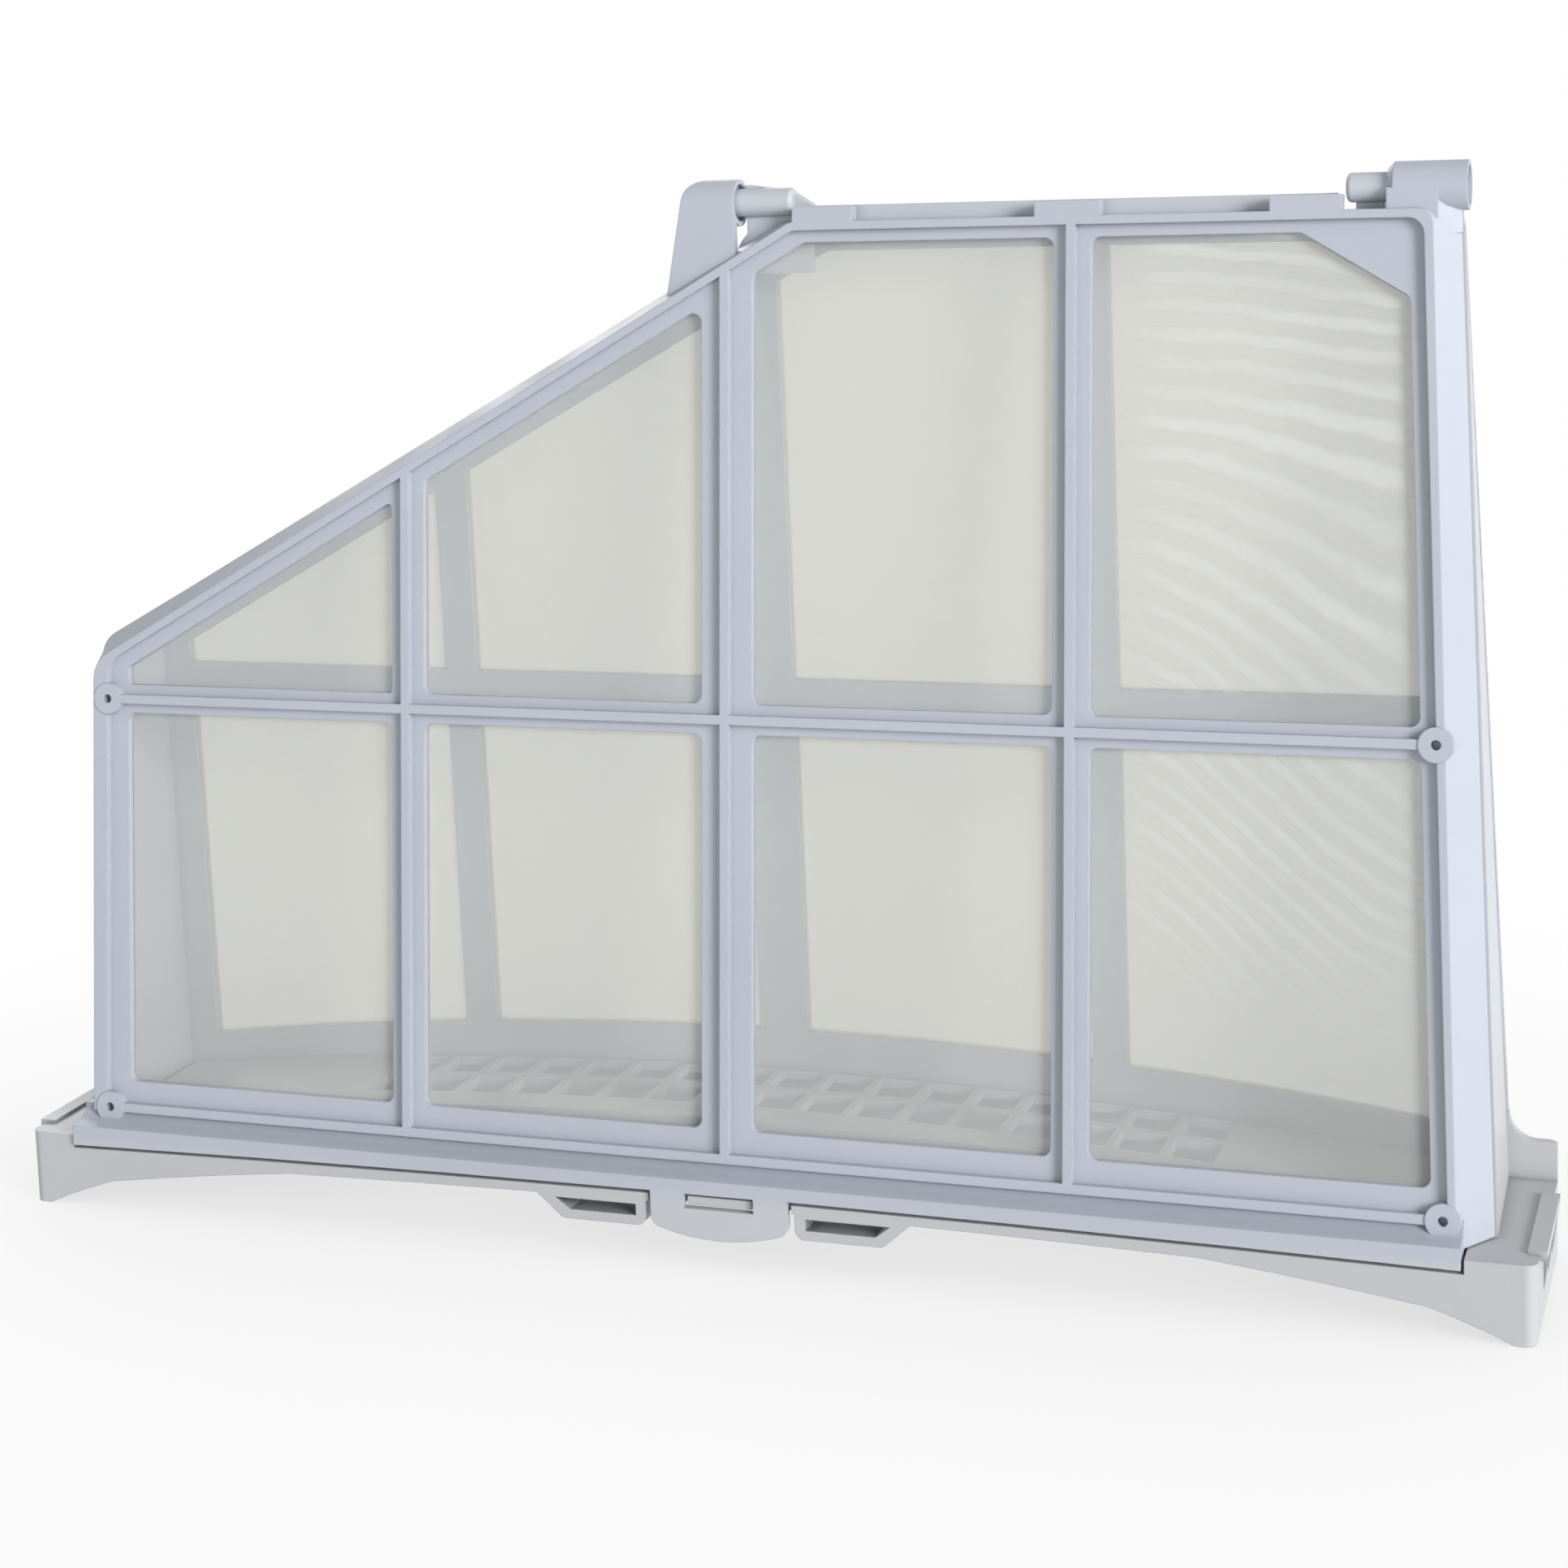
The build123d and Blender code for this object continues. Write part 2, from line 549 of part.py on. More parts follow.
with BuildPart() as rear_frame:
    # Tray, wider at the parting plane than at its mesh
    with BuildSketch(PARTING.offset(-GAP / 2)):
        outline(body_points(REAR_PART_LEFT, REAR_PART_RIGHT, PART_SHOULDER, REAR_PART_CROWN, REAR_PART_LOW))
    with BuildSketch(REAR.offset(-BASE)):
        outline(body_points(*rear_body, REAR_LOW))
    loft(ruled=True)
    with BuildSketch(PARTING.offset(WALL)):
        outline(body_points(REAR_PART_LEFT, REAR_PART_RIGHT, PART_SHOULDER, REAR_PART_CROWN, -REACH, WALL))
    with BuildSketch(REAR):
        outline(body_points(*rear_body, REAR_LOW - REACH, WALL))
    loft(ruled=True, mode=Mode.SUBTRACT)
    # Flange, then its hollow and the seat of the front half
    add(flange.part)
    with BuildSketch(upright(BACK_Y - FLANGE_WALL)):
        arch(ARCH_MID - FLANGE_WALL, ARCH_FOOT - FLANGE_WALL, crest[0] - FLANGE_WALL, -REACH)
        span((FLANGE_WALL - FLANGE_HALF, FLANGE_HALF - FLANGE_WALL), -REACH, SHELF - FLANGE_WALL)
    extrude(amount=BACK_Y - SEAT_Y - 2 * FLANGE_WALL, mode=Mode.SUBTRACT)
    with BuildSketch(upright(SEAT_Y + FLANGE_WALL)):
        arch(LEDGE_MID - LEDGE_THICK, LEDGE_END - LEDGE_THICK, FLANGE_HALF - FLANGE_WALL, -REACH)
    extrude(amount=SEAT_Y - APRON_Y, mode=Mode.SUBTRACT)
    with BuildSketch(upright(SEAT_Y)):
        span((LIP_LEFT - LIP_END_GAP, LIP_RIGHT + LIP_END_GAP), 0, ARCH_MID + REACH)
        arch(LEDGE_MID, LEDGE_END, -LIP_LEFT + LIP_END_GAP, -REACH, Mode.SUBTRACT)
    extrude(amount=SEAT_Y - APRON_Y + WALL, mode=Mode.SUBTRACT)
    # Loops, the notch between them for the tab, and the catch in its window
    with BuildSketch(upright(APRON_Y + LOOP_DEEP)):
        for side in (1, -1):
            with BuildLine():
                FilletPolyline(
                    (side * LOOP_INNER, EDGE_MID),
                    (side * LOOP_INNER, LOOP_LOW),
                    (side * LOOP_OUTER, LOOP_LOW),
                    (side * (LOOP_OUTER + LOOP_SLOPE), EDGE_MID),
                    radius=(0, LOOP_CORNER, LOOP_CORNER, 0),
                    close=True,
                )
            make_face()
            with BuildLine():
                Polyline(
                    (side * SLOT_INNER, SLOT_LOW),
                    (side * SLOT_OUTER, SLOT_LOW),
                    (side * (SLOT_OUTER + SLOT_SLOPE), SLOT_HIGH),
                    (side * SLOT_INNER, SLOT_HIGH),
                    close=True,
                )
            make_face(mode=Mode.SUBTRACT)
    extrude(amount=LOOP_DEEP)
    with BuildSketch(upright(APRON_Y + FLANGE_WALL)):
        span((-TAB_HALF - TAB_CLEAR, TAB_HALF + TAB_CLEAR), 0, LEDGE_MID + WALL)
    extrude(amount=FLANGE_WALL, mode=Mode.SUBTRACT)
    with BuildSketch(upright(APRON_Y + FLANGE_WALL)):
        span((-CATCH_HALF, CATCH_HALF), EDGE_MID, LEDGE_MID)
    extrude(amount=CATCH_NOSE)
    # Grille
    with BuildSketch(Plane.XY.offset(SHELF)):
        with Locations(GRILLE_CENTRE):
            with GridLocations(GRILLE_PITCH, GRILLE_ROW_PITCH, GRILLE_COLUMNS, GRILLE_ROWS):
                Rectangle(*GRILLE_OPENING)
    extrude(amount=ARCH_MID - SHELF + WALL, mode=Mode.SUBTRACT)
    # Grip bar along the top of each end, with gussets under it
    grip_low = SHELF + GRIP_RISE - LEDGE_THICK
    with BuildSketch(upright(GRIP_SIDES[1])):
        for place in (tuple, mirrored):
            with BuildLine():
                Polyline(
                    place(at_end((GRIP_DEEP - GRIP_OUT, grip_low))),
                    place(at_end((-GRIP_OUT, grip_low))),
                    place(at_end((-GRIP_OUT, SHELF + GRIP_RISE))),
                    place(at_end((GRIP_DEEP - GRIP_OUT, SHELF + GRIP_RISE))),
                    close=True,
                )
            make_face()
    extrude(amount=GRIP_SIDES[1] - GRIP_SIDES[0])
    for number in range(GRIP_RIBS):
        with BuildSketch(upright((number - (GRIP_RIBS - 1) / 2) * GRIP_RIB_PITCH + GRIP_RIB_WIDE / 2)):
            for place in (tuple, mirrored):
                with BuildLine():
                    Polyline(
                        place(at_end((GRIP_DEEP - GRIP_OUT, grip_low))),
                        place(at_end((-GRIP_OUT, grip_low))),
                        place(at_end((0, grip_low - GRIP_RIB_TALL))),
                        place(at_end((GRIP_DEEP - GRIP_OUT, grip_low - GRIP_RIB_TALL))),
                        close=True,
                    )
                make_face()
        extrude(amount=GRIP_RIB_WIDE)
    # Rim and ribs behind the mesh
    with BuildSketch(REAR.offset(-BASE - REAR_RIB_HIGH)):
        outline(body_points(*rear_body, 0))
        outline(body_points(*rear_body, 0, REAR_RIM_WIDE), Mode.SUBTRACT)
        ribs(REAR_ROW, 0, REAR_CROWN)
        outline(body_points(*rear_body, 0), Mode.INTERSECT)
    extrude(amount=REAR_RIB_HIGH)
    # Windows, and the slot that holds the mesh sheet
    for column in COLUMNS:
        for low, high in ((-REACH, REAR_ROW - STRIP_CROSS / 2), (REAR_ROW + STRIP_CROSS / 2, REAR_CROWN)):
            with BuildSketch(REAR):
                span(column, low, high)
                field(rear_field, REAR_FIELD_RISE, Mode.INTERSECT)
            extrude(amount=-BASE - REAR_RIB_HIGH, mode=Mode.SUBTRACT)
    with BuildSketch(REAR.offset(REAR_SHEET_BACK)):
        field(rear_sheet, REAR_FIELD_RISE)
    extrude(amount=SHEET, mode=Mode.SUBTRACT)
    # Corner plate and rail above the tray, with the seats and nibs of the hinge pins
    with BuildSketch(upright(AXIS_Y + RAIL_DEEP)):
        bend_start = (PLATE_LEFT, PLATE_TOP - PLATE_ROUND[1])
        bend_end = (PLATE_LEFT + PLATE_ROUND[0], PLATE_TOP)
        with BuildLine():
            ThreePointArc(bend_start, (PLATE_LEFT + PLATE_BEND[0], PLATE_TOP - PLATE_BEND[1]), bend_end)
            Polyline(bend_end, (RAIL[0], PLATE_TOP), (RAIL[0], PLATE_TOP - PLATE_TALL))
            Polyline((RAIL[0], PLATE_TOP - PLATE_TALL), (PLATE_LEFT, PLATE_TOP - PLATE_TALL), bend_start)
        make_face()
        span(RAIL, PLATE_TOP - WALL, AXIS_Z - RAIL_DROP)
        for nib in NIBS:
            span(nib, PLATE_TOP - WALL, AXIS_Z - NIB_DROP)
    extrude(amount=RAIL_DEEP)
    with BuildSketch(upright(AXIS_Y + SEAT_DEEP)):
        for seat in SEATS:
            with BuildLine():
                Polyline(
                    (seat[0][0], AXIS_Z - SEAT_SINK),
                    *((x, AXIS_Z + rise) for x, rise in seat),
                    (seat[-1][0], AXIS_Z - SEAT_SINK),
                    close=True,
                )
            make_face()
    extrude(amount=SEAT_DEEP)
    for start, end, tip in (
        (EAR[0] + EAR_BLIND + PIN_SHORT, PIN_FREE[0], PIN_FREE[0]),
        (PIN_FREE[1], BARREL[1] - PIN_SINK, PIN_FREE[1]),
    ):
        with BuildSketch(across(start)):
            with Locations((AXIS_Y, AXIS_Z)):
                Circle(PIN_WIDE / 2)
        extrude(amount=end - start)
        circles = rear_frame.edges().filter_by(GeomType.CIRCLE)
        fillet(circles.filter_by_position(Axis.X, tip - GAP, tip + GAP), PIN_ROUND)

with BuildPart() as rear_mesh:
    with BuildSketch(REAR.offset(REAR_SHEET_BACK)):
        field(rear_sheet, REAR_FIELD_RISE)
    extrude(amount=SHEET)

front_frame.part.label = "front_frame"
front_mesh.part.label = "front_mesh"
rear_frame.part.label = "rear_frame"
rear_mesh.part.label = "rear_mesh"
os.makedirs("parts", exist_ok=True)
export_step(front_frame.part, "parts/front_frame.step")
export_step(front_mesh.part, "parts/front_mesh.step")
export_step(rear_frame.part, "parts/rear_frame.step")
export_step(rear_mesh.part, "parts/rear_mesh.step")
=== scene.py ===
import math

import bpy
from bpy.props import FloatProperty, FloatVectorProperty, PointerProperty
from mathutils import Matrix, Vector


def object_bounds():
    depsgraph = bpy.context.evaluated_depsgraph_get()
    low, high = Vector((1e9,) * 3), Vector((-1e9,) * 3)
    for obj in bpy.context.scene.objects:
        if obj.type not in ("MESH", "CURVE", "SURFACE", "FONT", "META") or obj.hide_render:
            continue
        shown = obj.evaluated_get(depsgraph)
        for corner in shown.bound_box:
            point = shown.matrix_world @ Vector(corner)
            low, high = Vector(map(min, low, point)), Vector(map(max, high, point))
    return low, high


bl_info = {
    "name": "Lint Filter Finishes",
    "version": (1, 0, 0),
    "blender": (4, 5, 0),
    "location": "View3D > Sidebar > Lint Filter",
    "description": "Moulded plastic, woven screens and studio for a hinged lint filter",
    "category": "Material",
}

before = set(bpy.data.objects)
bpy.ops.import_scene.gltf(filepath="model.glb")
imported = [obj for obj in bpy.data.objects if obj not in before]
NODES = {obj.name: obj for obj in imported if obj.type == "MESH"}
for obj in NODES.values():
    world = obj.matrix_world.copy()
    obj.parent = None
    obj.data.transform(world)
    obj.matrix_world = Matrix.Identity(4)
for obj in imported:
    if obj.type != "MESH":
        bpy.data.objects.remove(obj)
CAD_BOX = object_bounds()
WHITE = (1.0, 1.0, 1.0)
SKY_SAMPLES = 1

# Camera fitted to the object: place in metres, directions, lens and sensor in millimetres, shift
CAMERA_PLACE = (0.25783, -0.70284, 0.28808)
CAMERA_RIGHT = (0.9455, 0.32377, -0.03458)
CAMERA_DOWN = (0.01104, -0.13801, -0.99037)
CAMERA_AHEAD = (-0.32543, 0.93602, -0.13406)
CAMERA_LENS = 68.28
CAMERA_SENSOR = 36.0
CAMERA_SHIFT = -0.1687

# Plastic: scales of noise per metre, lengths in metres, the rest as shares
PLASTIC_IOR = 1.5
GRAIN_DETAIL = 1.0
CLOUD_SCALE = 18.0
CLOUD_DETAIL = 2.0
FRONT_CLOUDING = 0.10
REAR_CLOUDING = 0.08
FLOW_SCALE = 70.0
FLOW_DRIFT = 0.16
EDGE_SAMPLES = 2
# Where and how strongly the painted highlight on broken edges shows
EDGE_LEAN = (0.8, 0.99)
EDGE_OPEN = (0.7, 0.95)
EDGE_HIGHLIGHT_SHARE = 0.6
# Reach of the painted shade in inner corners
CORNER_REACH = 0.004

# Heights in metres between which one colour or shade gives way to the next
TAB_TO_LIP = (0.0165, 0.0205)
FLANGE_TO_BODY = (0.03, 0.08)
SLOT_TO_LEDGE = (0.0175, 0.022)

# Weave: waves run from 0 in the middle of a gap to 1 on a thread
WEAVE_CROSSING = 0.35
GAP_EDGES = (0.35, 0.75)
GAP_COVER = (0.55, 1.25)
MOTTLE_SCALE = 9.0
MOTTLE_SHARE = 0.12
MOTTLE_COLOUR = (0.62, 0.62, 0.56)
THREAD_DEPTH = 0.0001
THREAD_BUMP = 0.35
THREAD_ROUGHNESS = 0.75

# Painted sheen streaks: heights and distances from the middle in metres
STREAK_PITCH = 0.0066
STREAK_WAVE = (-0.5, 1.0)
STREAK_COLOUR = (0.93, 0.93, 0.91)
STREAK_COVER = 0.3
SLOPE_HEIGHTS = (0.10, 0.23)
SLOPE_SHARES = (1.0, 0.12)
SLOPE_SIDES = (0.08, 0.185)
SLOPE_FALL = 0.06
SLOW_SCALE = 14.0
SLOW_WAVER = 0.008
QUICK_SCALE = 90.0
QUICK_DETAIL = 1.0
QUICK_WAVER = 0.0026
PATCH_SCALES = (8.0, 1.0, 60.0)
PATCH_EDGES = (0.35, 0.68)
PATCH_SHARES = (0.45, 1.0)
STREAK_SIDES = (0.098, 0.115)
STREAK_RISE = (0.05, 0.16)
CROSS_RIB = (0.136, 0.137)
ABOVE_STRIP = (0.146, 0.152)

# Stage: name, place and size of each lamp in metres, then the sky and the floor
LAMPS = (
    ("key", (4.6, -2.88, 1.55), 2.4),
    ("fill", (-0.5, -2.0, 0.3), 1.2),
    ("back", (-2.2, 3.2, 1.8), 2.0),
)
SKY_COLOUR = (0.94, 0.97, 1.0)
FLOOR_REACH = 8.0
FLOOR_ROUGHNESS = 0.9
FLOOR_SHINE = 0.1
FLOOR_FADE = (0.18, 0.42)
FLOOR_WHITE = (0.88, 1.0)
SHADOW_REACH = 0.12
SHADOW_OPEN = (0.2, 1.0)
SHADOW_COLOUR = (0.8, 0.8, 0.81)


class PlasticSettings(bpy.types.PropertyGroup):
    """Finish of the two moulded frames."""

    frame_colour: FloatVectorProperty(
        name="Frame colour",
        description="Cool grey of the front half",
        subtype="COLOR",
        default=(0.485, 0.513, 0.58),
    )
    flange_colour: FloatVectorProperty(
        name="Flange colour",
        description="Neutral grey of the flange",
        subtype="COLOR",
        default=(0.52, 0.525, 0.54),
    )
    body_colour: FloatVectorProperty(
        name="Body colour",
        description="Cool grey of the rear half above its flange",
        subtype="COLOR",
        default=(0.55, 0.575, 0.62),
    )
    tab_colour: FloatVectorProperty(
        name="Tab colour",
        description="Paler grey of the snap tab",
        subtype="COLOR",
        default=(0.535, 0.55, 0.575),
    )
    # Colour of the painted highlight along broken edges
    edge_highlight_colour: FloatVectorProperty(
        name="Edge highlight colour",
        description="Paler grey of the broken edges",
        subtype="COLOR",
        default=(0.72, 0.745, 0.79),
    )
    # Strength of the painted shade in inner corners
    corner_shade: FloatProperty(
        name="Corner shade",
        description="How much dimmer the inner corners are",
        subtype="FACTOR",
        default=0.22,
        min=0.0,
        max=1.0,
    )
    # Strength of the painted shade in the apron and its slots
    slot_shade: FloatProperty(
        name="Slot shade",
        description="How much dimmer the inner corners of the apron and its slots are",
        subtype="FACTOR",
        default=0.95,
        min=0.0,
        max=1.0,
    )
    roughness: FloatProperty(
        name="Roughness",
        description="Satin of the moulded surface",
        subtype="FACTOR",
        default=0.42,
        min=0.0,
        max=1.0,
    )
    grain_size: FloatProperty(
        name="Grain size",
        description="Size of the fine texture left by the mould",
        unit="LENGTH",
        default=0.0009,
    )
    grain_depth: FloatProperty(
        name="Grain depth",
        description="Height of the fine texture left by the mould",
        unit="LENGTH",
        default=0.00002,
    )
    edge_round: FloatProperty(
        name="Edge round",
        description="Radius of the broken edges that catch the light",
        unit="LENGTH",
        default=0.0005,
    )


class ScreenSettings(bpy.types.PropertyGroup):
    """Finish of the two woven screens."""

    front_colour: FloatVectorProperty(
        name="Front colour",
        description="Off-white of the front screen's threads",
        subtype="COLOR",
        default=(0.8, 0.81, 0.805),
    )
    rear_colour: FloatVectorProperty(
        name="Rear colour",
        description="Cream of the rear screen's threads",
        subtype="COLOR",
        default=(0.83, 0.815, 0.64),
    )
    pitch: FloatProperty(
        name="Thread pitch",
        description="Distance from one thread to the next",
        unit="LENGTH",
        default=0.00035,
    )
    front_cover: FloatProperty(
        name="Front cover",
        description="Share of the light that the threads on one face of the front screen hold back",
        subtype="FACTOR",
        default=0.23,
        min=0.0,
        max=1.0,
    )
    rear_cover: FloatProperty(
        name="Rear cover",
        description="Share of the light that the threads on one face of the rear screen hold back",
        subtype="FACTOR",
        default=0.4,
        min=0.0,
        max=1.0,
    )
    # Strength of the painted sheen streaks on the front screen
    streak_sheen: FloatProperty(
        name="Sheen streaks",
        description="Strength of the pale wavy streaks where the threads drift",
        subtype="FACTOR",
        default=0.5,
        min=0.0,
        max=1.0,
    )


class StageSettings(bpy.types.PropertyGroup):
    """Light and floor of the studio."""

    key_power: FloatProperty(
        name="Key power",
        description="Power of the broad lamp at the right",
        unit="POWER",
        default=290.0,
    )
    fill_power: FloatProperty(
        name="Fill power",
        description="Power of the broad lamp in front",
        unit="POWER",
        default=3.0,
    )
    back_power: FloatProperty(
        name="Back power",
        description="Power of the broad lamp behind",
        unit="POWER",
        default=30.0,
    )
    sky: FloatProperty(
        name="Sky strength",
        description="Strength of the even light from all round",
        default=0.355,
    )
    floor_colour: FloatVectorProperty(
        name="Floor colour",
        description="Pale floor that takes the shadow",
        subtype="COLOR",
        default=(0.95, 0.95, 0.95),
    )


def settings():
    """The finish and stage settings of the scene."""
    scene = bpy.context.scene
    return scene.filter_plastic, scene.filter_screen, scene.filter_stage


def new_group(name, inputs, outputs):
    """An empty node group with its sockets, and the sockets inside it."""
    group = bpy.data.node_groups.new(name, "ShaderNodeTree")
    for label, kind, default in inputs:
        socket = group.interface.new_socket(name=label, in_out="INPUT", socket_type=f"NodeSocket{kind}")
        socket.default_value = default
    for label, kind in outputs:
        group.interface.new_socket(name=label, in_out="OUTPUT", socket_type=f"NodeSocket{kind}")
    entry = group.nodes.new("NodeGroupInput").outputs
    leave = group.nodes.new("NodeGroupOutput").inputs
    return group, entry, leave


def math_node(tree, operation, first, second=None):
    """A math node fed by links or numbers."""
    node = tree.nodes.new("ShaderNodeMath")
    node.operation = operation
    for socket, value in zip(node.inputs, (first, second)):
        if value is None:
            continue
        if isinstance(value, bpy.types.NodeSocket):
            tree.links.new(value, socket)
        else:
            socket.default_value = value
    return node.outputs[0]


def noise(tree, vector, scale, detail=0.0):
    """Fractal noise at a scale."""
    node = tree.nodes.new("ShaderNodeTexNoise")
    node.inputs["Detail"].default_value = detail
    tree.links.new(vector, node.inputs["Vector"])
    if isinstance(scale, bpy.types.NodeSocket):
        tree.links.new(scale, node.inputs["Scale"])
    else:
        node.inputs["Scale"].default_value = scale
    return node.outputs["Fac"]


def mix_colour(tree, share, first, second):
    """Two colours mixed by a share."""
    node = tree.nodes.new("ShaderNodeMix")
    node.data_type = "RGBA"
    tree.links.new(share, node.inputs[0])
    # Inputs 6 and 7 and output 2 are the ones for colours
    for socket, value in ((node.inputs[6], first), (node.inputs[7], second)):
        if isinstance(value, bpy.types.NodeSocket):
            tree.links.new(value, socket)
        else:
            socket.default_value = (*value[:3], 1.0)
    return node.outputs[2]


def ramp(tree, value, span, ends=(0.0, 1.0)):
    """A value carried smoothly from one range to another."""
    node = tree.nodes.new("ShaderNodeMapRange")
    node.interpolation_type = "SMOOTHSTEP"
    tree.links.new(value, node.inputs["Value"])
    for name, number in zip(("From Min", "From Max", "To Min", "To Max"), (*span, *ends)):
        node.inputs[name].default_value = number
    return node.outputs["Result"]


def position(tree):
    """A point on the piece."""
    return tree.nodes.new("ShaderNodeTexCoord").outputs["Object"]


def parts(tree, vector):
    """The three parts of a vector."""
    node = tree.nodes.new("ShaderNodeSeparateXYZ")
    tree.links.new(vector, node.inputs[0])
    return node.outputs


def open_sky(tree, reach, only_local):
    """Share of the sky that a point lies open to, within reach."""
    node = tree.nodes.new("ShaderNodeAmbientOcclusion")
    node.samples = SKY_SAMPLES
    node.only_local = only_local
    node.inputs["Distance"].default_value = reach
    return node.outputs["AO"]


def grain_and_painted_light():
    """Node group: mould texture, clouding, a painted highlight on broken edges and painted shade in inner
    corners of a moulded plastic.
    """
    name = "Moulded grain"
    if name in bpy.data.node_groups:
        return bpy.data.node_groups[name]
    group, entry, leave = new_group(
        name,
        (
            ("Colour", "Color", (0.6, 0.6, 0.6, 1.0)),
            ("Edge highlight colour", "Color", (0.8, 0.8, 0.8, 1.0)),
            ("Roughness", "Float", 0.4),
            ("Grain per metre", "Float", 1000.0),
            ("Clouding", "Float", 0.05),
            ("Corner shade", "Float", 0.5),
            ("Edge round", "Float", 0.0005),
        ),
        (("Colour", "Color"), ("Roughness", "Float"), ("Height", "Float"), ("Normal", "Vector")),
    )
    place = position(group)
    group.links.new(noise(group, place, entry["Grain per metre"], GRAIN_DETAIL), leave["Height"])
    # Broken edges: the rounded normal, and how far it leans from the flat one, which places the painted
    # highlight
    edge = group.nodes.new("ShaderNodeBevel")
    edge.samples = EDGE_SAMPLES
    group.links.new(entry["Edge round"], edge.inputs["Radius"])
    group.links.new(edge.outputs[0], leave["Normal"])
    lean = group.nodes.new("ShaderNodeVectorMath")
    lean.operation = "DOT_PRODUCT"
    group.links.new(edge.outputs[0], lean.inputs[0])
    group.links.new(group.nodes.new("ShaderNodeNewGeometry").outputs["Normal"], lean.inputs[1])
    edge_mask = ramp(group, lean.outputs["Value"], EDGE_LEAN, (1.0, 0.0))
    # Painted shade darkens inner corners by how little sky they see, and the painted highlight goes only on
    # outer edges
    sky = open_sky(group, CORNER_REACH, only_local=True)
    outer = math_node(group, "MULTIPLY", edge_mask, ramp(group, sky, EDGE_OPEN))
    pale = math_node(group, "MULTIPLY", outer, EDGE_HIGHLIGHT_SHARE)
    painted_corner_shade = math_node(group, "MULTIPLY", math_node(group, "SUBTRACT", 1.0, sky), entry["Corner shade"])
    # Darker and paler clouds of the colour, less the painted corner shade
    cloud = noise(group, place, CLOUD_SCALE, CLOUD_DETAIL)
    dark = math_node(group, "MULTIPLY", math_node(group, "SUBTRACT", 0.5, cloud), entry["Clouding"])
    shade = math_node(group, "SUBTRACT", math_node(group, "SUBTRACT", 1.0, dark), painted_corner_shade)
    scale = group.nodes.new("ShaderNodeVectorMath")
    scale.operation = "SCALE"
    group.links.new(entry["Colour"], scale.inputs[0])
    group.links.new(shade, scale.inputs["Scale"])
    # Painted highlight: the paler edge colour mixed in along outer edges
    colour = mix_colour(group, pale, scale.outputs[0], entry["Edge highlight colour"])
    group.links.new(colour, leave["Colour"])
    # Roughness varies with the flow of the plastic
    flow = math_node(group, "SUBTRACT", noise(group, place, FLOW_SCALE), 0.5)
    drift = math_node(group, "MULTIPLY", flow, FLOW_DRIFT)
    group.links.new(math_node(group, "ADD", entry["Roughness"], drift), leave["Roughness"])
    return group


def woven_screen():
    """Node group: plain weave with gaps, and a faint mottle."""
    name = "Woven screen"
    if name in bpy.data.node_groups:
        return bpy.data.node_groups[name]
    group, entry, leave = new_group(
        name,
        (
            ("Colour", "Color", (0.7, 0.7, 0.6, 1.0)),
            ("Threads per metre", "Float", 2500.0),
            ("Cover", "Float", 0.5),
        ),
        (("Colour", "Color"), ("Alpha", "Float"), ("Height", "Float")),
    )
    place = position(group)
    axes = parts(group, place)
    # Threads across and up, as waves that are highest at the middle of each thread
    turn = math_node(group, "MULTIPLY", entry["Threads per metre"], math.pi)
    warp = math_node(group, "SINE", math_node(group, "MULTIPLY", axes["X"], turn))
    weft = math_node(group, "SINE", math_node(group, "MULTIPLY", axes["Z"], turn))
    warp_high = math_node(group, "ABSOLUTE", warp)
    weft_high = math_node(group, "ABSOLUTE", weft)
    top = math_node(group, "MAXIMUM", warp_high, weft_high)
    over = math_node(group, "MULTIPLY", math_node(group, "MULTIPLY", warp, weft), WEAVE_CROSSING)
    group.links.new(math_node(group, "ADD", top, over), leave["Height"])
    # Gaps lie where neither thread is high
    gap = ramp(group, top, GAP_EDGES, GAP_COVER)
    group.links.new(math_node(group, "MULTIPLY", entry["Cover"], gap), leave["Alpha"])
    cloud = math_node(group, "MULTIPLY", noise(group, place, MOTTLE_SCALE), MOTTLE_SHARE)
    group.links.new(mix_colour(group, cloud, entry["Colour"], MOTTLE_COLOUR), leave["Colour"])
    return group


